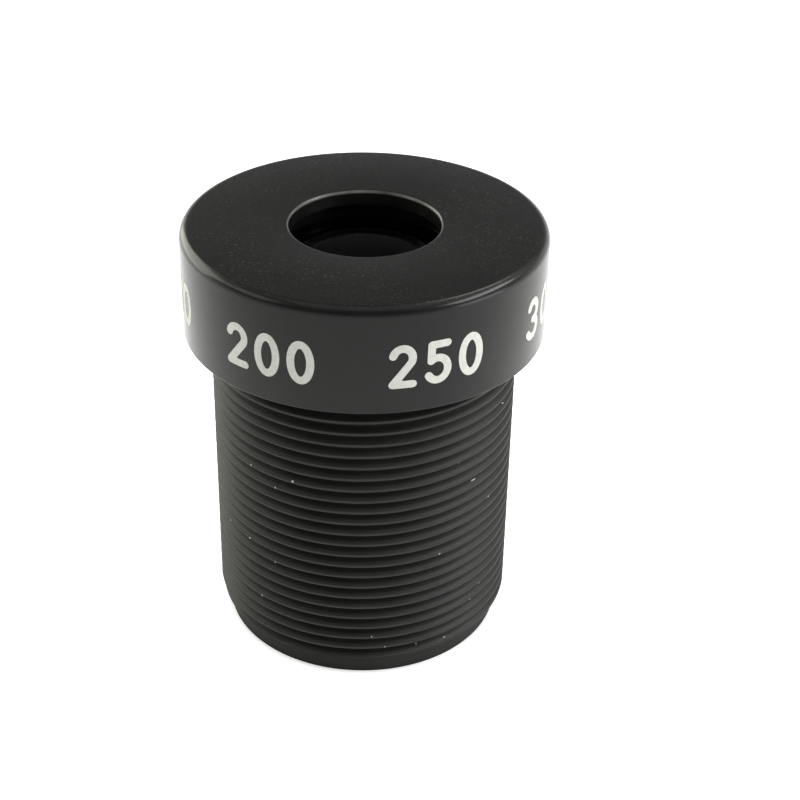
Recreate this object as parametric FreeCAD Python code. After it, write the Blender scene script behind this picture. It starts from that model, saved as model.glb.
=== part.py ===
import FreeCAD, Part
import math
import os

# Fixed-focus board camera lens with an M12 thread, in millimetres.
# The optical axis is Z. The rear face, which looks at the sensor, lies on z = 0,
# and +Z points to the front, where the light comes in.

# Outside of the barrel: an M12 x 0.5 thread, drawn as a plain cylinder over its crests,
# above a plain foot that leads it into its holder
THREAD_NOMINAL_RADIUS = 6.0
THREAD_ALLOWANCE = 0.03
THREAD_PITCH = 0.5
THREADED_LENGTH = 12.0
FLANK_ANGLE = 30
FOOT_HEIGHT = 1.0
FOOT_UNDERCUT = 0.06
FOOT_CHAMFER = 0.04

# Walls, steps and ledges of the barrel, from its front end to the filter glued in its rear
BARREL_WALL = 1.29
BORE_STEP_WIDTH = 0.45
BORE_STEP_CLEARANCE = 0.15
SHOULDER_WIDTH = 0.67
FOOT_WALL = 1.33
FILTER_LEDGE_WIDTH = 0.52
FILTER_RECESS_DEPTH = 1.0
FILTER_THICKNESS = 0.7
GLASS_CLEARANCE = 0.02

# Front cap, a turned ring that screws on the barrel and clamps the glass
CAP_WALL = 1.0
CAP_HEIGHT = 4.2
CAP_TOP_ROUNDING = 0.38
CAP_BOTTOM_CHAMFER = 0.18
CAP_THREAD_CLEARANCE = 0.02
LIP_THICKNESS = 0.6
LIP_WIDTH = 0.55
OPENING_ROUNDING = 0.2
COUNTERBORE_DEPTH = 0.7
CLAMP_WIDTH = 1.0
CLAMP_ALLOWANCE = 0.1
DOME_CLEARANCE = 0.05

# Glass, from the front: radius of curvature of each domed or hollow surface, thickness
# at its thinnest, and the flat rim that a ring presses on
FRONT_ELEMENT_CURVE = 11.2
FRONT_ELEMENT_EDGE = 1.39
SECOND_ELEMENT_CURVE = 13.2
SECOND_ELEMENT_THICKNESS = 0.8
SECOND_ELEMENT_RIM_WIDTH = 1.3
DOUBLET_FRONT_THICKNESS = 0.8
CEMENTED_CURVE = 6.33
DOUBLET_REAR_EDGE = 0.74
DOUBLET_REAR_CURVE = 12.4
REAR_ELEMENT_CURVE = 13.5
REAR_ELEMENT_EDGE = 1.36
REAR_RIM_WIDTH = 0.55

# Air between the glass surfaces on the axis, which sets the height of the spacer rings
FRONT_AIR_GAP = 1.44
STOP_AIR_GAP = 1.9
REAR_AIR_GAP = 0.25
SPACER_LAND_CLEARANCE = 0.05
MIDDLE_SPACER_FLANGE = 0.9
STOP_THICKNESS = 0.15
STOP_RING_WIDTH = 2.1
STOP_EDGE_THICKNESS = 0.05

# Straight cuts that stand for a rounded edge, within 0.02 of the true arc
ROUNDING_CUTS = 3

# Depths of an ISO metric thread, as shares of its pitch: the external thread down to
# its root, and the internal thread in from its nominal radius
EXTERNAL_DEPTH_SHARE = 0.6134
INTERNAL_DEPTH_SHARE = 0.5413


def sag(curve, radius):
    """Depth of a spherical surface between its pole and a rim of the given radius."""
    return curve - math.sqrt(curve * curve - radius * radius)


# Radii of the outside, which follow from the thread
THREAD_MAJOR_RADIUS = THREAD_NOMINAL_RADIUS - THREAD_ALLOWANCE
FOOT_RADIUS = THREAD_MAJOR_RADIUS - EXTERNAL_DEPTH_SHARE * THREAD_PITCH - FOOT_UNDERCUT
CAP_RADIUS = THREAD_NOMINAL_RADIUS + CAP_WALL
CAP_THREAD_RADIUS = THREAD_NOMINAL_RADIUS - INTERNAL_DEPTH_SHARE * THREAD_PITCH
HIDDEN_THREAD_RADIUS = CAP_THREAD_RADIUS - CAP_THREAD_CLEARANCE

# Radii of the bores, and of the glass and rings that drop into them
FRONT_BORE_RADIUS = HIDDEN_THREAD_RADIUS - BARREL_WALL
REAR_BORE_RADIUS = FRONT_BORE_RADIUS - BORE_STEP_WIDTH
SHOULDER_OPENING_RADIUS = REAR_BORE_RADIUS - SHOULDER_WIDTH
FILTER_BORE_RADIUS = FOOT_RADIUS - FOOT_WALL
EXIT_OPENING_RADIUS = FILTER_BORE_RADIUS - FILTER_LEDGE_WIDTH
FRONT_GLASS_RADIUS = FRONT_BORE_RADIUS - GLASS_CLEARANCE
REAR_GLASS_RADIUS = REAR_BORE_RADIUS - GLASS_CLEARANCE
FILTER_RADIUS = FILTER_BORE_RADIUS - GLASS_CLEARANCE
STOP_OPENING_RADIUS = FRONT_GLASS_RADIUS - STOP_RING_WIDTH
COUNTERBORE_RADIUS = FRONT_GLASS_RADIUS - CLAMP_WIDTH
OPENING_RADIUS = COUNTERBORE_RADIUS - LIP_WIDTH

# Radii out to which the domed and hollow surfaces are polished, inside their flat rims
FRONT_ELEMENT_POLISHED = COUNTERBORE_RADIUS - DOME_CLEARANCE
SECOND_ELEMENT_POLISHED = FRONT_GLASS_RADIUS - SECOND_ELEMENT_RIM_WIDTH
REAR_POLISHED = REAR_GLASS_RADIUS - REAR_RIM_WIDTH

# Heights of the cap
CAP_BOTTOM = FOOT_HEIGHT + THREADED_LENGTH
CAP_TOP = CAP_BOTTOM + CAP_HEIGHT
LIP_UNDERSIDE = CAP_TOP - LIP_THICKNESS
CLAMP_FACE = LIP_UNDERSIDE - COUNTERBORE_DEPTH

# Heights of the glass stack, from the clamping face down to the shoulder that carries it.
# A pole is where a surface meets the axis, and a rim is its flat edge.
FRONT_ELEMENT_POLE = CLAMP_FACE + sag(FRONT_ELEMENT_CURVE, FRONT_ELEMENT_POLISHED)
FRONT_ELEMENT_REAR = CLAMP_FACE - FRONT_ELEMENT_EDGE
SECOND_ELEMENT_POLE = FRONT_ELEMENT_REAR - FRONT_AIR_GAP
SECOND_ELEMENT_RIM = SECOND_ELEMENT_POLE + sag(SECOND_ELEMENT_CURVE, SECOND_ELEMENT_POLISHED)
STOP_FRONT = SECOND_ELEMENT_POLE - SECOND_ELEMENT_THICKNESS
STOP_REAR = STOP_FRONT - STOP_THICKNESS
DOUBLET_FRONT = STOP_REAR - STOP_AIR_GAP
CEMENTED_POLE = DOUBLET_FRONT - DOUBLET_FRONT_THICKNESS
CEMENTED_RIM = CEMENTED_POLE - sag(CEMENTED_CURVE, REAR_GLASS_RADIUS)
DOUBLET_REAR_RIM = CEMENTED_RIM - DOUBLET_REAR_EDGE
DOUBLET_REAR_POLE = DOUBLET_REAR_RIM - sag(DOUBLET_REAR_CURVE, REAR_POLISHED)
REAR_ELEMENT_POLE = DOUBLET_REAR_POLE - REAR_AIR_GAP
REAR_ELEMENT_RIM = REAR_ELEMENT_POLE - sag(REAR_ELEMENT_CURVE, REAR_POLISHED)
SHOULDER = REAR_ELEMENT_RIM - REAR_ELEMENT_EDGE

# Heights of the barrel's front end and of the step in its bore
BARREL_FRONT = CLAMP_FACE - CLAMP_ALLOWANCE
FLANGE_UNDERSIDE = STOP_REAR - MIDDLE_SPACER_FLANGE
BORE_STEP = FLANGE_UNDERSIDE - BORE_STEP_CLEARANCE


def at(radius, height):
    """Point of a half section, right of the optical axis."""
    return FreeCAD.Vector(radius, 0, height)


def straight(start, end):
    return Part.LineSegment(start, end).toShape()


def revolve(edges):
    """Solid of revolution about the optical axis, from the edges of its half section."""
    section = Part.Face(Part.Wire(edges))
    return section.revolve(at(0, 0), FreeCAD.Vector(0, 0, 1), 360)


def turned(points):
    """Turned solid from a closed outline of points (radius, height)."""
    corners = [at(*point) for point in points]
    return revolve([straight(a, b) for a, b in zip(corners, corners[1:] + corners[:1])])


def rounded(centre_radius, centre_height, rounding, start_angle, end_angle):
    """Points of a rounded edge about its centre, between two angles from the +X side."""
    points = []
    for cut in range(ROUNDING_CUTS + 1):
        angle = math.radians(start_angle + (end_angle - start_angle) * cut / ROUNDING_CUTS)
        points.append((centre_radius + rounding * math.cos(angle),
                       centre_height + rounding * math.sin(angle)))
    return points


def surface(pole, rim_height, rim_radius):
    """Section edge of one glass surface, from the axis to its rim: an arc, or a flat line."""
    depth = pole - rim_height
    if depth == 0:
        return straight(at(0, pole), at(rim_radius, rim_height))
    curve = (rim_radius ** 2 + depth ** 2) / (2 * abs(depth))
    half_way = rim_radius / 2
    middle = at(half_way, pole - math.copysign(sag(curve, half_way), depth))
    return Part.Arc(at(0, pole), middle, at(rim_radius, rim_height)).toShape()


def glass(front, rear, edge_radius):
    """Lens element between two surfaces, each given as (pole, rim height, rim radius)."""
    rim = [at(front[2], front[1]), at(edge_radius, front[1]),
           at(edge_radius, rear[1]), at(rear[2], rear[1])]
    sides = [straight(a, b) for a, b in zip(rim, rim[1:]) if a != b]
    axis = straight(at(0, rear[0]), at(0, front[0]))
    return revolve([surface(*front)] + sides + [surface(*rear), axis])


def barrel():
    """Threaded tube with a stepped bore, loaded with glass from the front."""
    lead_in = (THREAD_MAJOR_RADIUS - FOOT_RADIUS) * math.tan(math.radians(FLANK_ANGLE))
    outside = [(FOOT_RADIUS - FOOT_CHAMFER, 0), (FOOT_RADIUS, FOOT_CHAMFER),
               (FOOT_RADIUS, FOOT_HEIGHT - lead_in), (THREAD_MAJOR_RADIUS, FOOT_HEIGHT),
               (THREAD_MAJOR_RADIUS, CAP_BOTTOM), (HIDDEN_THREAD_RADIUS, CAP_BOTTOM),
               (HIDDEN_THREAD_RADIUS, BARREL_FRONT)]
    inside = [(FRONT_BORE_RADIUS, BARREL_FRONT), (FRONT_BORE_RADIUS, BORE_STEP),
              (REAR_BORE_RADIUS, BORE_STEP), (REAR_BORE_RADIUS, SHOULDER),
              (SHOULDER_OPENING_RADIUS, SHOULDER), (EXIT_OPENING_RADIUS, FILTER_RECESS_DEPTH),
              (FILTER_BORE_RADIUS, FILTER_RECESS_DEPTH), (FILTER_BORE_RADIUS, 0)]
    return turned(outside + inside)


def front_cap():
    """Ring with a rounded outer edge, a small front opening and a counterbore behind it."""
    outside = [(CAP_THREAD_RADIUS, CAP_BOTTOM),
               (CAP_RADIUS - CAP_BOTTOM_CHAMFER, CAP_BOTTOM),
               (CAP_RADIUS, CAP_BOTTOM + CAP_BOTTOM_CHAMFER)]
    top_edge = rounded(CAP_RADIUS - CAP_TOP_ROUNDING, CAP_TOP - CAP_TOP_ROUNDING,
                       CAP_TOP_ROUNDING, 0, 90)
    opening_edge = rounded(OPENING_RADIUS + OPENING_ROUNDING, CAP_TOP - OPENING_ROUNDING,
                           OPENING_ROUNDING, 90, 180)
    inside = [(OPENING_RADIUS, LIP_UNDERSIDE), (COUNTERBORE_RADIUS, LIP_UNDERSIDE),
              (COUNTERBORE_RADIUS, CLAMP_FACE), (CAP_THREAD_RADIUS, CLAMP_FACE)]
    return turned(outside + top_edge + opening_edge + inside)


def front_element():
    """Domed glass behind the opening, flat at the rear."""
    return glass((FRONT_ELEMENT_POLE, CLAMP_FACE, FRONT_ELEMENT_POLISHED),
                 (FRONT_ELEMENT_REAR, FRONT_ELEMENT_REAR, FRONT_GLASS_RADIUS),
                 FRONT_GLASS_RADIUS)


def front_spacer():
    """Ring between the front and second elements, bored to a cone that clears the light."""
    return turned([
        (FRONT_GLASS_RADIUS, SECOND_ELEMENT_RIM),
        (FRONT_GLASS_RADIUS, FRONT_ELEMENT_REAR),
        (FRONT_ELEMENT_POLISHED, FRONT_ELEMENT_REAR),
        (SECOND_ELEMENT_POLISHED + SPACER_LAND_CLEARANCE, SECOND_ELEMENT_RIM),
    ])


def second_element():
    """Glass hollow in front and flat behind."""
    return glass((SECOND_ELEMENT_POLE, SECOND_ELEMENT_RIM, SECOND_ELEMENT_POLISHED),
                 (STOP_FRONT, STOP_FRONT, FRONT_GLASS_RADIUS),
                 FRONT_GLASS_RADIUS)


def aperture_stop():
    """Thin washer whose hole is bevelled to a fine edge."""
    bevel = STOP_THICKNESS - STOP_EDGE_THICKNESS
    return turned([
        (FRONT_GLASS_RADIUS, STOP_REAR),
        (FRONT_GLASS_RADIUS, STOP_FRONT),
        (STOP_OPENING_RADIUS, STOP_FRONT),
        (STOP_OPENING_RADIUS, STOP_FRONT - STOP_EDGE_THICKNESS),
        (STOP_OPENING_RADIUS + bevel, STOP_REAR),
    ])


def middle_spacer():
    """Flanged ring that carries the stop and presses on the smaller doublet."""
    return turned([
        (REAR_GLASS_RADIUS, DOUBLET_FRONT),
        (REAR_GLASS_RADIUS, FLANGE_UNDERSIDE),
        (FRONT_GLASS_RADIUS, FLANGE_UNDERSIDE),
        (FRONT_GLASS_RADIUS, STOP_REAR),
        (SECOND_ELEMENT_POLISHED, STOP_REAR),
        (REAR_POLISHED, DOUBLET_FRONT),
    ])


def doublet_front_element():
    """Front half of the cemented pair: flat in front, hollow behind."""
    return glass((DOUBLET_FRONT, DOUBLET_FRONT, REAR_GLASS_RADIUS),
                 (CEMENTED_POLE, CEMENTED_RIM, REAR_GLASS_RADIUS),
                 REAR_GLASS_RADIUS)


def doublet_rear_element():
    """Rear half of the cemented pair: domed on both sides."""
    return glass((CEMENTED_POLE, CEMENTED_RIM, REAR_GLASS_RADIUS),
                 (DOUBLET_REAR_POLE, DOUBLET_REAR_RIM, REAR_POLISHED),
                 REAR_GLASS_RADIUS)


def rear_spacer():
    """Ring between the doublet and the rear element."""
    return turned([
        (REAR_GLASS_RADIUS, REAR_ELEMENT_RIM),
        (REAR_GLASS_RADIUS, DOUBLET_REAR_RIM),
        (REAR_POLISHED + SPACER_LAND_CLEARANCE, DOUBLET_REAR_RIM),
        (REAR_POLISHED + SPACER_LAND_CLEARANCE, REAR_ELEMENT_RIM),
    ])


def rear_element():
    """Glass domed in front, flat where it stands on the barrel's shoulder."""
    return glass((REAR_ELEMENT_POLE, REAR_ELEMENT_RIM, REAR_POLISHED),
                 (SHOULDER, SHOULDER, REAR_GLASS_RADIUS),
                 REAR_GLASS_RADIUS)


def ir_filter():
    """Flat coated disc, glued against the ledge of its recess."""
    rear = FILTER_RECESS_DEPTH - FILTER_THICKNESS
    return turned([(0, rear), (FILTER_RADIUS, rear),
                   (FILTER_RADIUS, FILTER_RECESS_DEPTH), (0, FILTER_RECESS_DEPTH)])


PIECES = [barrel, front_cap, front_element, front_spacer, second_element, aperture_stop,
          middle_spacer, doublet_front_element, doublet_rear_element, rear_spacer,
          rear_element, ir_filter]

os.makedirs("parts", exist_ok=True)
for piece in PIECES:
    piece().exportStep(f"parts/{piece.__name__}.step")
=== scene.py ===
import math

import bmesh
import bpy
from mathutils import Matrix, Vector


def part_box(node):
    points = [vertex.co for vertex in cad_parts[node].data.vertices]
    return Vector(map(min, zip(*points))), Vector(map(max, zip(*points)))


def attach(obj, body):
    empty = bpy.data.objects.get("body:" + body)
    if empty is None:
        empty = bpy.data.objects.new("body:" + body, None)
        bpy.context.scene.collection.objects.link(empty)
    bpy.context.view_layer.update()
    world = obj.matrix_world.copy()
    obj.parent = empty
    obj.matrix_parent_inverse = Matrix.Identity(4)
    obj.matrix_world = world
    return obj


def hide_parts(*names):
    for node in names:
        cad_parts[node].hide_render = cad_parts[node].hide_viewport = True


# Dresses the board camera lens: its real helical thread, the rounded head with plain
# white numbers round it, black anodised metal, coated glass and a little dust.
# Lengths are in millimetres until they reach Blender, which takes metres. Angles are in
# degrees, and round the lens they count to the right from the side in the photograph.

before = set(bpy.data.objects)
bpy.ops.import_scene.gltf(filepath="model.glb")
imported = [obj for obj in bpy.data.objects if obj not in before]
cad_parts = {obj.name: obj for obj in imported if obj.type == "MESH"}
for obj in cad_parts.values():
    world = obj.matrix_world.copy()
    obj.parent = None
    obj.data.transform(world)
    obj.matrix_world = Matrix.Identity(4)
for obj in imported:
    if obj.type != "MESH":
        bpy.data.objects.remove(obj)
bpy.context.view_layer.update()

MM = 0.001

# Points of a mesh that lie nearer than this become one
MERGE_REACH = 0.002
ROUNDING_STEPS = 8

# Thread: M12 with the standard's depth, right-handed, with a crest on the photograph's side
# at every whole number of pitches above the rear face, but for the shift
THREAD_PITCH = 0.5
THREAD_DEPTH = 0.6134 * THREAD_PITCH
THREAD_SHIFT = -0.008
THREAD_COLUMNS = 168
THREAD_SHARP_ANGLE = 62
# Corners of one flank, a little worn, as (share of the pitch from the middle of the crest,
# share of the depth)
THREAD_FLANK = [(0.07, 0.0), (0.13, 0.06), (0.27, 0.5), (0.41, 0.94), (0.46, 1.0)]

# Foot of the barrel, under the thread
FOOT_RADIUS = 5.603
FOOT_ROUNDING = 0.04
LEAD_IN_TOP = 1.0
LEAD_IN_ANGLE = 30

# Inside of the barrel and its plain stretch in the head, where no neighbour's box says it
BORE_CLEARANCE = 0.02
HIDDEN_THREAD_RADIUS = 5.709
EXIT_OPENING_RADIUS = 3.753
SHOULDER_OPENING_RADIUS = 3.299
SPACER_FLANGE = 0.9
BORE_STEP_CLEARANCE = 0.15

# Head
CAP_COLUMNS = 240
CAP_SHARP_ANGLE = 40
CAP_THREAD_RADIUS = 5.729
CAP_TOP_ROUNDING = 0.38
CAP_BOTTOM_ROUNDING = 0.06
OPENING_RADIUS = 2.889
OPENING_ROUNDING = 0.12
LIP_THICKNESS = 0.6
COUNTERBORE_RADIUS = 3.399
COUNTERBORE_DEPTH = 0.7

# Plain numbers round the head, in fifties as on a dial
NUMBER_STEP = 50
NUMBER_COUNT = 7
NUMBER_HEIGHT = 1.74
NUMBER_BASE = 1.02
FIRST_NUMBER_ANGLE = -182.3
INK_PROUD = 0.006
INK_SUNK = 0.004
# Shares of the numbers' height
DIGIT_WIDTH = 0.6
DIGIT_ADVANCE = 0.76
STROKE_HALF_WIDTH = 0.085
INK_GRID = 0.03

# Dust on the thread, as (angle, height, half its length round the barrel, half its height)
DUST = [(-24.9, 9.0, 0.045, 0.05), (-40.6, 2.9, 0.04, 0.035), (-46.5, 5.4, 0.045, 0.035),
        (67.3, 10.7, 0.05, 0.035), (47.8, 2.5, 0.03, 0.03), (69.4, 6.9, 0.05, 0.04),
        (23.4, 1.2, 0.03, 0.03), (53.2, 3.0, 0.03, 0.03), (35.6, 1.15, 0.04, 0.03),
        (-32.4, 8.45, 0.03, 0.04), (31.2, 5.55, 0.04, 0.03), (-44.3, 8.95, 0.035, 0.03),
        (-60.5, 5.4, 0.035, 0.035), (-52.2, 3.3, 0.03, 0.03), (-33.3, 4.9, 0.03, 0.025),
        (56.4, 7.05, 0.035, 0.03), (36.5, 7.4, 0.03, 0.025), (41.0, 9.25, 0.03, 0.025),
        (48.2, 8.2, 0.14, 0.02), (5.0, 2.05, 0.025, 0.025), (10.1, 1.5, 0.025, 0.025),
        (170.0, 6.3, 0.04, 0.035), (128.0, 3.6, 0.035, 0.03), (-137.0, 9.4, 0.04, 0.03)]
DUST_HALF_THICKNESS = 0.03

# Colours, as linear red, green and blue
CAP_BLACK = (0.006, 0.0065, 0.0058)
THREAD_BLACK = (0.012, 0.0124, 0.0108)
PALE_GREY = (0.5, 0.5, 0.47)
FLOOR_GREY = (0.65, 0.65, 0.65)
WHITE = (1, 1, 1)
LEFT_LIGHT = (0.97, 1, 0.86)
RIGHT_LIGHT = (0.97, 1, 0.88)

# Height of the bumps in the black's and the ink's surface
GRAIN_HEIGHT = 0.004
# How much pale grey the specks on the head's top have, in faint patches and in clear ones
SPECKS_LEAST = 0.02
SPECKS_MOST = 0.1
# Painted highlight on the rim of the front opening: how far out it reaches, how softly it ends,
# and how much pale grey it has in its faintest and clearest patches
RIM_HIGHLIGHT_REACH = 0.05
RIM_HIGHLIGHT_SOFTNESS = 0.02
RIM_HIGHLIGHT_LEAST = 0.05
RIM_HIGHLIGHT_MOST = 0.35

# Camera, fitted to the outline of the object in the photograph: its focal length in pixels
# of the frame, and its place from a point on the lens's axis
FOCAL_PIXELS = 1660.16
FRAME_PIXELS = 800
SENSOR_WIDTH = 36.0
CAMERA_NEAREST = 1.0
CAMERA_AIM_HEIGHT = 8.0
CAMERA_DISTANCE = 67.371
CAMERA_ELEVATION = 31.3715
CAMERA_ROLL = 1.1408
CAMERA_RIGHT = 1.4737
CAMERA_UP = 1.1418

# Brightness, where the floor that the camera sees is 1, of the room overhead and of the
# floor as the metal and the glass mirror it
ROOM_BRIGHTNESS = 0.15
MIRRORED_FLOOR = 0.7
# Heights of view between which the white horizon turns into the dim room, as the sine of
# the angle above it
ROOM_STARTS = 0.08
ROOM_IS_REACHED = 0.26
FLOOR_RADIUS = 400.0
FLOOR_COLUMNS = 64
# How far round the foot's edge the floor's glow is taken away: a painted contact shadow to the
# camera, and painted shade in the floor as the metal mirrors it
CONTACT_REACH = 0.4
SHADE_REACH = 1.0
LIGHT_DISTANCE = 160


def from_box(node):
    """Largest radius, lowest and highest point of a CAD node, in millimetres."""
    low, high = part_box(node)
    return high.x / MM, low.z / MM, high.z / MM


BARREL_RADIUS, _, BARREL_FRONT = from_box("barrel")
CAP_RADIUS, CAP_BOTTOM, CAP_TOP = from_box("front_cap")
FRONT_GLASS_RADIUS, _, _ = from_box("front_element")
REAR_GLASS_RADIUS, SHOULDER, _ = from_box("rear_element")
FILTER_RADIUS, _, FILTER_FRONT = from_box("ir_filter")
_, _, SPACER_FRONT = from_box("middle_spacer")


def add_object(name, mesh):
    """New object in the scene that shows the mesh."""
    thing = bpy.data.objects.new(name, mesh)
    bpy.context.scene.collection.objects.link(thing)
    return thing


def new_mesh(name, vertices, faces):
    """Mesh from points in millimetres, with doubles merged and outward normals."""
    mesh = bpy.data.meshes.new(name)
    mesh.from_pydata([Vector(v) * MM for v in vertices], [], faces)
    work = bmesh.new()
    work.from_mesh(mesh)
    bmesh.ops.remove_doubles(work, verts=work.verts, dist=MERGE_REACH * MM)
    bmesh.ops.dissolve_degenerate(work, edges=work.edges, dist=MERGE_REACH * MM)
    bmesh.ops.recalc_face_normals(work, faces=work.faces)
    work.to_mesh(mesh)
    work.free()
    return mesh


def shade(mesh, sharp_angle):
    """Smooth shading that keeps edges sharper than the angle."""
    mesh.shade_smooth()
    mesh.set_sharp_from_angle(angle=math.radians(sharp_angle))


def on_ring(radius, angle, height):
    """Point at an angle round the lens's axis."""
    turn = math.radians(angle - 90)
    return (radius * math.cos(turn), radius * math.sin(turn), height)


def arc(centre, radii, start, end, steps):
    """Points on a circle or ellipse between two angles."""
    points = []
    for step in range(steps + 1):
        angle = math.radians(start + (end - start) * step / steps)
        points.append((centre[0] + radii[0] * math.cos(angle),
                       centre[1] + radii[1] * math.sin(angle)))
    return points


def rounding(centre, radius, start, end):
    """Points of a rounded edge in an outline."""
    return arc(centre, (radius, radius), start, end, ROUNDING_STEPS)


def rings(outline, columns):
    """Points and faces of a body of revolution, from an open outline of (radius, height)."""
    vertices = []
    for radius, height in outline:
        vertices += [on_ring(radius, 360 * column / columns, height)
                     for column in range(columns)]
    faces = []
    for row in range(len(outline) - 1):
        for column in range(columns):
            beside = (column + 1) % columns
            faces.append((row * columns + column, row * columns + beside,
                          (row + 1) * columns + beside, (row + 1) * columns + column))
    return vertices, faces


# Thread and barrel
def thread_profile():
    """Corners of one whole thread, from the lower edge of its crest to the next crest.

    They are the lower edge, the flank above, and its mirror image up to the next crest.
    """
    crest_edge, crest_depth = THREAD_FLANK[0]
    mirrored = [(1 - along, depth) for along, depth in reversed(THREAD_FLANK[1:])]
    return [(-crest_edge, crest_depth)] + THREAD_FLANK + mirrored


THREAD_PROFILE = thread_profile()


def thread_radius(angle, height):
    """Radius of the thread's surface at an angle and a height."""
    first, crest_depth = THREAD_PROFILE[0]
    closed = THREAD_PROFILE + [(first + 1, crest_depth)]
    along = (height - THREAD_SHIFT) / THREAD_PITCH - angle / 360
    along = (along - first) % 1 + first
    # Rounding can leave the place a hair past the last corner, which is on the crest
    depth = crest_depth
    for (start, low), (end, high) in zip(closed, closed[1:]):
        if start <= along <= end:
            depth = low + (high - low) * (along - start) / (end - start)
            break
    return BARREL_RADIUS - THREAD_DEPTH * depth


def helix(low, high, slope):
    """Points and faces of the thread between two heights, fading into the foot.

    Each step round has the corners of one thread. Its last corner joins the first one of
    the step a turn later, which belongs to the thread above. The turns to spare at both
    ends are flattened onto the two heights.
    """
    rows = len(THREAD_PROFILE)
    first = math.floor(low / THREAD_PITCH) - 1
    turns = math.ceil((high - low) / THREAD_PITCH) + 3
    vertices = []
    for step in range(turns * THREAD_COLUMNS + 1):
        angle = 360 * step / THREAD_COLUMNS
        crest = THREAD_PITCH * (first + step / THREAD_COLUMNS) + THREAD_SHIFT
        for along, _ in THREAD_PROFILE:
            height = min(max(crest + THREAD_PITCH * along, low), high)
            faded = FOOT_RADIUS + (height - low) / slope
            radius = min(thread_radius(angle, height), faded)
            vertices.append(on_ring(radius, angle, height))
    faces = []
    for step in range(turns * THREAD_COLUMNS):
        for row in range(rows):
            here = step * rows + row
            above = here + 1
            if row == rows - 1:
                above = (step + THREAD_COLUMNS) * rows
            if above + rows < len(vertices):
                faces.append((here, here + rows, above + rows, above))
    return vertices, faces


def barrel_outline(foot_top):
    """Half section of the barrel but for its thread, round the foot and through the bore."""
    bore_front = FRONT_GLASS_RADIUS + BORE_CLEARANCE
    bore_rear = REAR_GLASS_RADIUS + BORE_CLEARANCE
    bore_filter = FILTER_RADIUS + BORE_CLEARANCE
    step = SPACER_FRONT - SPACER_FLANGE - BORE_STEP_CLEARANCE
    edge = (FOOT_RADIUS - FOOT_ROUNDING, FOOT_ROUNDING)
    return ([(FOOT_RADIUS, foot_top)]
            + rounding(edge, FOOT_ROUNDING, 0, -90)
            + [(bore_filter, 0), (bore_filter, FILTER_FRONT),
               (EXIT_OPENING_RADIUS, FILTER_FRONT), (SHOULDER_OPENING_RADIUS, SHOULDER),
               (bore_rear, SHOULDER), (bore_rear, step), (bore_front, step),
               (bore_front, BARREL_FRONT), (HIDDEN_THREAD_RADIUS, BARREL_FRONT),
               (HIDDEN_THREAD_RADIUS, CAP_BOTTOM)])


def threaded_barrel():
    """Barrel with its real thread, foot, lead-in and stepped bore, as one closed mesh."""
    slope = math.tan(math.radians(LEAD_IN_ANGLE))
    foot_top = LEAD_IN_TOP - (BARREL_RADIUS - FOOT_RADIUS) * slope
    vertices, faces = rings(barrel_outline(foot_top), THREAD_COLUMNS)

    # A flat ring under the head closes the mesh where the thread ends
    outer_ring = len(vertices)
    inner_ring = outer_ring - THREAD_COLUMNS
    for column in range(THREAD_COLUMNS):
        angle = 360 * column / THREAD_COLUMNS
        vertices.append(on_ring(thread_radius(angle, CAP_BOTTOM), angle, CAP_BOTTOM))
        beside = (column + 1) % THREAD_COLUMNS
        faces.append((inner_ring + column, inner_ring + beside,
                      outer_ring + beside, outer_ring + column))

    offset = len(vertices)
    thread_vertices, thread_faces = helix(foot_top, CAP_BOTTOM, slope)
    faces += [tuple(offset + corner for corner in face) for face in thread_faces]
    mesh = new_mesh("threaded_barrel", vertices + thread_vertices, faces)
    shade(mesh, THREAD_SHARP_ANGLE)
    return add_object("threaded_barrel", mesh)


def dust_on_thread():
    """Pale specks and a short fibre that lie on the thread, half sunk in its surface."""
    work = bmesh.new()
    for angle, height, half_length, half_height in DUST:
        radius = thread_radius(angle, height)
        place = Matrix.Translation(Vector(on_ring(radius, angle, height)) * MM)
        turn = Matrix.Rotation(math.radians(angle), 4, "Z")
        stretch = Matrix.Diagonal((half_length * MM, DUST_HALF_THICKNESS * MM,
                                   half_height * MM, 1))
        bmesh.ops.create_icosphere(work, subdivisions=2, radius=1,
                                   matrix=place @ turn @ stretch)
    mesh = bpy.data.meshes.new("dust_on_thread")
    work.to_mesh(mesh)
    work.free()
    mesh.shade_smooth()
    return add_object("dust_on_thread", mesh)


# Head and its numbers
def rounded_cap():
    """Head with rounded edges, front opening and counterbore."""
    top_edge = (CAP_RADIUS - CAP_TOP_ROUNDING, CAP_TOP - CAP_TOP_ROUNDING)
    bottom_edge = (CAP_RADIUS - CAP_BOTTOM_ROUNDING, CAP_BOTTOM + CAP_BOTTOM_ROUNDING)
    opening_edge = (OPENING_RADIUS + OPENING_ROUNDING, CAP_TOP - OPENING_ROUNDING)
    lip = CAP_TOP - LIP_THICKNESS
    seat = lip - COUNTERBORE_DEPTH
    outline = ([(CAP_THREAD_RADIUS, CAP_BOTTOM)]
               + rounding(bottom_edge, CAP_BOTTOM_ROUNDING, -90, 0)
               + rounding(top_edge, CAP_TOP_ROUNDING, 0, 90)
               + rounding(opening_edge, OPENING_ROUNDING, 90, 180)
               + [(OPENING_RADIUS, lip), (COUNTERBORE_RADIUS, lip),
                  (COUNTERBORE_RADIUS, seat), (CAP_THREAD_RADIUS, seat),
                  (CAP_THREAD_RADIUS, CAP_BOTTOM)])
    vertices, faces = rings(outline, CAP_COLUMNS)
    mesh = new_mesh("rounded_cap", vertices, faces)
    shade(mesh, CAP_SHARP_ANGLE)
    return add_object("rounded_cap", mesh)


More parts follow.
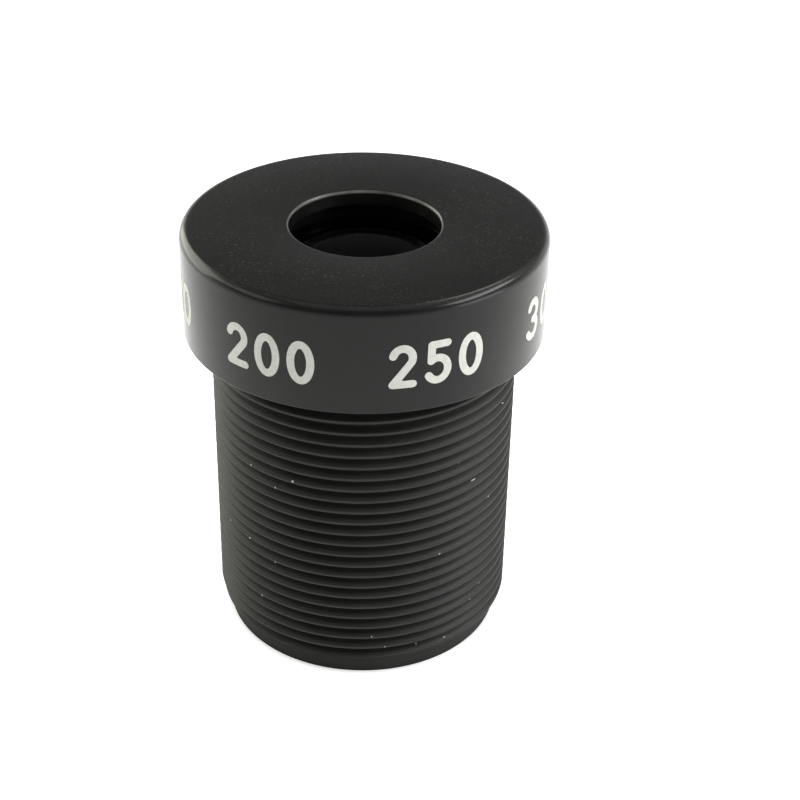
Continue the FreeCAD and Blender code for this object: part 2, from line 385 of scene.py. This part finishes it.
def digit_strokes():
    """Strokes of each digit in use, in a cell of the digit's width by a height of 1.

    An arc says its centre, its radii, the angles that it runs between and its steps.
    """
    left, right = STROKE_HALF_WIDTH, DIGIT_WIDTH - STROKE_HALF_WIDTH
    low, high = STROKE_HALF_WIDTH, 1 - STROKE_HALF_WIDTH
    return {
        "0": [arc((0.3, 0.5), (0.215, 0.415), 0, 360, 32)],
        "1": [[(0.15, 0.74), (0.35, high), (0.35, low)]],
        "2": [arc((0.3, 0.69), (0.205, 0.225), 165, -28, 14) + [(left + 0.01, low), (right, low)]],
        "3": [arc((0.28, 0.705), (0.2, 0.21), 155, -90, 14)
              + arc((0.28, 0.29), (0.225, 0.205), 90, -155, 14)],
        "5": [[(0.49, high), (0.15, high)] + arc((0.285, 0.345), (0.225, 0.26), 130, -150, 16)],
    }


def distance_to_line(x, y, start, end):
    """Distance of a place from the straight line between two points."""
    along = (end[0] - start[0], end[1] - start[1])
    # Where two arcs join, the line between them has no length
    length_squared = max(along[0] ** 2 + along[1] ** 2, 1e-12)
    share = ((x - start[0]) * along[0] + (y - start[1]) * along[1]) / length_squared
    share = min(max(share, 0), 1)
    return math.hypot(x - start[0] - share * along[0], y - start[1] - share * along[1])


def stencil(strokes):
    """Flat faces that fill round-ended strokes, cut on a fine grid so that they can bend."""
    lines = [pair for stroke in strokes for pair in zip(stroke, stroke[1:])]
    columns = math.ceil(DIGIT_WIDTH / INK_GRID)
    rows = math.ceil(1 / INK_GRID)

    def inside(column, row):
        """How far inside the ink a crossing of the grid is, or below 0 outside it."""
        x, y = column * INK_GRID, row * INK_GRID
        return STROKE_HALF_WIDTH - min(distance_to_line(x, y, a, b) for a, b in lines)

    level = {(c, r): inside(c, r) for c in range(-1, columns + 2) for r in range(-1, rows + 2)}
    points = []
    index = {}
    faces = []

    def point(key, x, y):
        """Number of a point on the grid, which is made the first time it is asked for."""
        if key not in index:
            index[key] = len(points)
            points.append((x * INK_GRID, y * INK_GRID))
        return index[key]

    for c in range(-1, columns + 1):
        for r in range(-1, rows + 1):
            corners = [(c, r), (c + 1, r), (c + 1, r + 1), (c, r + 1)]
            face = []
            for a, b in zip(corners, corners[1:] + corners[:1]):
                if level[a] > 0:
                    face.append(point(a, *a))
                if (level[a] > 0) != (level[b] > 0):
                    low, high = min(a, b), max(a, b)
                    share = level[low] / (level[low] - level[high])
                    face.append(point((low, high), low[0] + share * (high[0] - low[0]),
                                      low[1] + share * (high[1] - low[1])))
            if len(face) > 2:
                faces.append(face)
    return points, faces


def rim(faces):
    """Edges of flat faces that only one of them has."""
    edges = [edge for face in faces for edge in zip(face, face[1:] + face[:1])]
    present = set(edges)
    return [(start, end) for start, end in edges if (end, start) not in present]


def head_numbers():
    """White numbers printed round the head: thin ink, wrapped on its side."""
    stencils = {digit: stencil(strokes) for digit, strokes in digit_strokes().items()}
    cell_degrees = math.degrees(NUMBER_HEIGHT / CAP_RADIUS)
    work = bmesh.new()
    for number in range(NUMBER_COUNT):
        text = str((number + 1) * NUMBER_STEP)
        centre = FIRST_NUMBER_ANGLE + 360 * number / NUMBER_COUNT
        start = -((len(text) - 1) * DIGIT_ADVANCE + DIGIT_WIDTH) / 2
        for place, digit in enumerate(text):
            points, faces = stencils[digit]
            outer = []
            inner = []
            for x, y in points:
                angle = centre + (start + place * DIGIT_ADVANCE + x) * cell_degrees
                height = CAP_BOTTOM + NUMBER_BASE + y * NUMBER_HEIGHT
                for radius, corners in ((CAP_RADIUS + INK_PROUD, outer),
                                        (CAP_RADIUS - INK_SUNK, inner)):
                    corner = Vector(on_ring(radius, angle, height)) * MM
                    corners.append(work.verts.new(corner))
            for face in faces:
                work.faces.new([outer[corner] for corner in face])
                work.faces.new([inner[corner] for corner in reversed(face)])
            for first, second in rim(faces):
                work.faces.new([outer[second], outer[first], inner[first], inner[second]])
    bmesh.ops.recalc_face_normals(work, faces=work.faces)
    mesh = bpy.data.meshes.new("head_numbers")
    work.to_mesh(mesh)
    work.free()
    return add_object("head_numbers", mesh)


# Nodes that the materials are made of
def new_material(name, **values):
    """Material with a Principled shader whose plain sockets are set by name."""
    material = bpy.data.materials.new(name)
    material.use_nodes = True
    tree = material.node_tree
    shader = tree.nodes["Principled BSDF"]
    for socket, value in values.items():
        shader.inputs[socket.replace("_", " ")].default_value = value
    return material, tree, shader


def coordinates(tree, kind):
    """Where the shaded point is, such as in the object's own coordinates."""
    return tree.nodes.new("ShaderNodeTexCoord").outputs[kind]


def noise(tree, scale, detail=2.0, seed=(0, 0, 0)):
    """Noise in the object's own coordinates; the scale is in features per millimetre."""
    move = tree.nodes.new("ShaderNodeMapping")
    move.inputs["Location"].default_value = seed
    tree.links.new(coordinates(tree, "Object"), move.inputs["Vector"])
    texture = tree.nodes.new("ShaderNodeTexNoise")
    texture.inputs["Scale"].default_value = scale / MM
    texture.inputs["Detail"].default_value = detail
    tree.links.new(move.outputs["Vector"], texture.inputs["Vector"])
    return texture.outputs["Fac"]


def remap(tree, value, low, high, to_low=0.0, to_high=1.0):
    """Value stretched from one range to another, and held inside it."""
    node = tree.nodes.new("ShaderNodeMapRange")
    tree.links.new(value, node.inputs["Value"])
    node.inputs["From Min"].default_value = low
    node.inputs["From Max"].default_value = high
    node.inputs["To Min"].default_value = to_low
    node.inputs["To Max"].default_value = to_high
    return node.outputs["Result"]


def mix_colour(tree, factor, first, second):
    """Colour between two, each of which is a socket or a plain colour."""
    node = tree.nodes.new("ShaderNodeMix")
    node.data_type = "RGBA"
    tree.links.new(factor, node.inputs["Factor"])
    for socket, colour in (("A", first), ("B", second)):
        slot = [i for i in node.inputs if i.name == socket and i.type == "RGBA"][0]
        if isinstance(colour, bpy.types.NodeSocket):
            tree.links.new(colour, slot)
        else:
            slot.default_value = (*colour, 1)
    return [o for o in node.outputs if o.type == "RGBA"][0]


def combine(tree, operation, first, second):
    """Two values combined by a Math node's operation."""
    node = tree.nodes.new("ShaderNodeMath")
    node.operation = operation
    tree.links.new(first, node.inputs[0])
    tree.links.new(second, node.inputs[1])
    return node.outputs["Value"]


def multiply(tree, first, second):
    return combine(tree, "MULTIPLY", first, second)


def larger(tree, first, second):
    return combine(tree, "MAXIMUM", first, second)


def split(tree, vector):
    """The X, Y and Z of a vector."""
    node = tree.nodes.new("ShaderNodeSeparateXYZ")
    tree.links.new(vector, node.inputs["Vector"])
    return node.outputs["X"], node.outputs["Y"], node.outputs["Z"]


def axis_place(tree):
    """Distance from the lens's axis and height above the floor, in metres."""
    x, y, height = split(tree, coordinates(tree, "Object"))
    flat = tree.nodes.new("ShaderNodeCombineXYZ")
    tree.links.new(x, flat.inputs["X"])
    tree.links.new(y, flat.inputs["Y"])
    length = tree.nodes.new("ShaderNodeVectorMath")
    length.operation = "LENGTH"
    tree.links.new(flat.outputs["Vector"], length.inputs[0])
    return length.outputs["Value"], height


def mottle(tree, shader, dark, light, scale, detail=2.0, spread=0.2):
    """Colours the shader in soft patches between two colours, and gives that colour."""
    patches = remap(tree, noise(tree, scale, detail), 0.5 - spread, 0.5 + spread)
    colour = mix_colour(tree, patches, dark, light)
    tree.links.new(colour, shader.inputs["Base Color"])
    return colour


def bump(tree, shader, height, distance):
    """Bumps of the given height in millimetres."""
    node = tree.nodes.new("ShaderNodeBump")
    node.inputs["Distance"].default_value = distance * MM
    tree.links.new(height, node.inputs["Height"])
    tree.links.new(node.outputs["Normal"], shader.inputs["Normal"])


# Materials
def anodised(name, black, **values):
    """Black anodised aluminium: satin, faintly mottled, with a very fine grain."""
    material, tree, shader = new_material(name, **values)
    darker = [channel * 0.8 for channel in black]
    lighter = [channel * 1.2 for channel in black]
    colour = mottle(tree, shader, darker, lighter, scale=0.9, detail=3.0)
    bump(tree, shader, noise(tree, scale=14.0), GRAIN_HEIGHT)
    return material, tree, shader, colour


def barrel_anodised():
    """Black of the barrel, unsealed."""
    return anodised("barrel_anodised", THREAD_BLACK, Roughness=0.54, IOR=1.42)[0]


def specks(tree):
    """Pale specks where the surface faces up, in patches of few and many."""
    normal = tree.nodes.new("ShaderNodeNewGeometry").outputs["Normal"]
    facing_up = remap(tree, split(tree, normal)[2], 0.7, 0.95)
    grains = remap(tree, noise(tree, scale=9.0, detail=1.0, seed=(3, 1, 7)), 0.6, 0.75)
    patches = remap(tree, noise(tree, scale=0.35, seed=(5, 2, 4)), 0.4, 0.7,
                    SPECKS_LEAST, SPECKS_MOST)
    return multiply(tree, multiply(tree, grains, facing_up), patches)


def rim_painted_highlight(tree):
    """Painted highlight in pale grey patches along the top edge of the front opening."""
    reach, height = axis_place(tree)
    outermost = OPENING_RADIUS + RIM_HIGHLIGHT_REACH
    lowest = CAP_TOP - OPENING_ROUNDING
    near = remap(tree, reach, (outermost - RIM_HIGHLIGHT_SOFTNESS) * MM,
                 (outermost + RIM_HIGHLIGHT_SOFTNESS) * MM, 1.0, 0.0)
    high = remap(tree, height, (lowest - RIM_HIGHLIGHT_SOFTNESS) * MM, (lowest + RIM_HIGHLIGHT_SOFTNESS) * MM)
    patches = remap(tree, noise(tree, scale=0.5, detail=3.0, seed=(9, 4, 0)), 0.35, 0.65,
                    RIM_HIGHLIGHT_LEAST, RIM_HIGHLIGHT_MOST)
    return multiply(tree, multiply(tree, near, high), patches)


def cap_anodised():
    """Black of the head: sealed, with pale specks on top and a painted highlight on the rim of its
    opening.
    """
    material, tree, shader, black = anodised(
        "cap_anodised", CAP_BLACK, Roughness=0.4, IOR=1.2,
        Coat_Weight=1.0, Coat_IOR=1.27, Coat_Roughness=0.18)
    # The pale grey is partly dust specks on top and partly a painted highlight on the opening's
    # rim
    pale = larger(tree, specks(tree), rim_painted_highlight(tree))
    tree.links.new(mix_colour(tree, pale, black, PALE_GREY), shader.inputs["Base Color"])
    return material


def pale_dust():
    """Dry pale dust and lint."""
    material, tree, shader = new_material("pale_dust", Roughness=0.9)
    mottle(tree, shader, (0.55, 0.55, 0.5), (0.72, 0.72, 0.67), scale=3.0)
    return material


def white_ink():
    """Printed ink: off-white, matte, slightly uneven."""
    material, tree, shader = new_material("white_ink", Roughness=0.55)
    mottle(tree, shader, (0.71, 0.72, 0.66), (0.79, 0.79, 0.74), scale=5.0, spread=0.15)
    bump(tree, shader, noise(tree, scale=8.0), GRAIN_HEIGHT)
    return material


def inner_black():
    """Matte black of the rings between the glass."""
    material, tree, shader = new_material("inner_black", Roughness=0.7, IOR=1.3)
    mottle(tree, shader, (0.006, 0.006, 0.006), (0.010, 0.010, 0.010), scale=2.0)
    return material


def optical_glass(name, tint, ior):
    """Glass with a tint and a trace of haze; a low index stands for a coating."""
    material, tree, shader = new_material(name, Roughness=0.0, IOR=ior,
                                          Transmission_Weight=1.0)
    mottle(tree, shader, [channel * 0.97 for channel in tint], tint, scale=1.2)
    return material


def clothe(node, material):
    """Gives a carried-over CAD node its material."""
    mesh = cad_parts[node].data
    mesh.materials.clear()
    mesh.materials.append(material)


# Set
def lens_camera():
    """Camera at the photograph's place, turned and moved sideways as it was fitted."""
    elevation = math.radians(CAMERA_ELEVATION)
    roll = math.radians(CAMERA_ROLL)
    back = Vector((0, -math.cos(elevation), math.sin(elevation)))
    level = Vector((1, 0, 0))
    upright = Vector((0, math.sin(elevation), math.cos(elevation)))
    right = level * math.cos(roll) + upright * math.sin(roll)
    up = upright * math.cos(roll) - level * math.sin(roll)
    place = (Vector((0, 0, CAMERA_AIM_HEIGHT)) + back * CAMERA_DISTANCE
             + right * CAMERA_RIGHT + up * CAMERA_UP)
    data = bpy.data.cameras.new("camera")
    data.sensor_width = SENSOR_WIDTH
    data.lens = FOCAL_PIXELS * SENSOR_WIDTH / FRAME_PIXELS
    data.clip_start = CAMERA_NEAREST * MM
    camera = bpy.data.objects.new("camera", data)
    bpy.context.scene.collection.objects.link(camera)
    turn = Matrix((right, up, back)).transposed()
    camera.matrix_world = Matrix.Translation(place * MM) @ turn.to_4x4()
    bpy.context.scene.camera = camera


def studio_world():
    """White horizon under a dim room, the same for every ray."""
    world = bpy.data.worlds.new("studio")
    bpy.context.scene.world = world
    world.use_nodes = True
    tree = world.node_tree
    background = tree.nodes["Background"]
    background.inputs["Color"].default_value = (*WHITE, 1)
    _, _, height = split(tree, coordinates(tree, "Generated"))
    strength = remap(tree, height, ROOM_STARTS, ROOM_IS_REACHED, 1.0, ROOM_BRIGHTNESS)
    tree.links.new(strength, background.inputs["Strength"])


def white_floor():
    """Pale floor, white to the camera but for a painted contact shadow round the foot."""
    vertices, faces = rings([(0.0, 0.0), (FLOOR_RADIUS, 0.0)], FLOOR_COLUMNS)
    mesh = new_mesh("floor", vertices, faces)
    floor = add_object("floor", mesh)
    material, tree, shader = new_material("floor_white", Roughness=0.9)
    shader.inputs["Base Color"].default_value = (*FLOOR_GREY, 1)
    shader.inputs["Emission Color"].default_value = (*WHITE, 1)
    reach, _ = axis_place(tree)
    # The glow fades out towards the foot: a painted shadow to the camera, and painted shade in the
    # floor that the metal and glass mirror
    seen = remap(tree, reach, (FOOT_RADIUS - CONTACT_REACH) * MM,
                 (FOOT_RADIUS + CONTACT_REACH) * MM)
    mirrored = remap(tree, reach, FOOT_RADIUS * MM, (FOOT_RADIUS + SHADE_REACH) * MM,
                     0.0, MIRRORED_FLOOR)
    rays = tree.nodes.new("ShaderNodeLightPath").outputs
    glow = multiply(tree, rays["Is Camera Ray"], seen)
    glow = larger(tree, glow, multiply(tree, rays["Is Glossy Ray"], mirrored))
    glow = larger(tree, glow, multiply(tree, rays["Is Transmission Ray"], mirrored))
    tree.links.new(glow, shader.inputs["Emission Strength"])
    mesh.materials.append(material)


def softbox(name, angle, elevation, width, height, brightness, tint,
            distance=LIGHT_DISTANCE, in_gloss=True):
    """Soft light that looks at the lens; its brightness is that of its face."""
    data = bpy.data.lights.new(name, "AREA")
    data.shape = "RECTANGLE"
    data.size = width * MM
    data.size_y = height * MM
    data.energy = brightness * math.pi * width * height * MM ** 2
    data.color = tint
    lamp = bpy.data.objects.new(name, data)
    bpy.context.scene.collection.objects.link(lamp)
    tilt = math.radians(elevation)
    away = Vector(on_ring(distance * math.cos(tilt), angle, distance * math.sin(tilt)))
    target = Vector((0, 0, CAMERA_AIM_HEIGHT))
    lamp.location = (target + away) * MM
    lamp.rotation_euler = away.to_track_quat("Z", "Y").to_euler()
    lamp.visible_glossy = in_gloss


barrel = threaded_barrel()
barrel.data.materials.append(barrel_anodised())
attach(barrel, "root")
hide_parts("barrel")

dust = dust_on_thread()
dust.data.materials.append(pale_dust())
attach(dust, "root")

cap = rounded_cap()
cap.data.materials.append(cap_anodised())
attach(cap, "root")
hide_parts("front_cap")

numbers = head_numbers()
numbers.data.materials.append(white_ink())
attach(numbers, "root")

ring_black = inner_black()
for ring in ("front_spacer", "aperture_stop", "middle_spacer", "rear_spacer"):
    clothe(ring, ring_black)
clear_glass = optical_glass("clear_glass", tint=(0.97, 0.98, 0.97), ior=1.3)
for element in ("second_element", "doublet_front_element", "doublet_rear_element",
                "rear_element"):
    clothe(element, clear_glass)
clothe("front_element", optical_glass("coated_glass", tint=(0.5, 0.55, 0.52), ior=1.16))
clothe("ir_filter", optical_glass("filter_glass", tint=(0.75, 0.92, 0.92), ior=1.52))

lens_camera()
studio_world()
white_floor()
# The numbers are the angle, the elevation, the width, the height and the brightness
softbox("window", 84, 41, 116, 46, 9.5, WHITE)
softbox("small_window", 148, 54, 34, 46, 4.5, WHITE)
softbox("right_low_softbox", 72, 6, 90, 50, 4.0, WHITE)
softbox("right_softbox", 118, 50, 120, 120, 0.65, RIGHT_LIGHT)
softbox("back_right_softbox", 126, 16, 90, 50, 0.6, RIGHT_LIGHT)
softbox("left_softbox", -125, 22, 136, 108, 3.9, LEFT_LIGHT)
softbox("left_upper_softbox", -78, 41, 80, 60, 2.0, LEFT_LIGHT)
softbox("overhead_softbox", 0, 88, 150, 150, 0.6, WHITE, distance=170)
softbox("front_fill", -5, 62, 110, 110, 1.0, WHITE, in_gloss=False)

bpy.context.scene.view_settings.view_transform = "Standard"
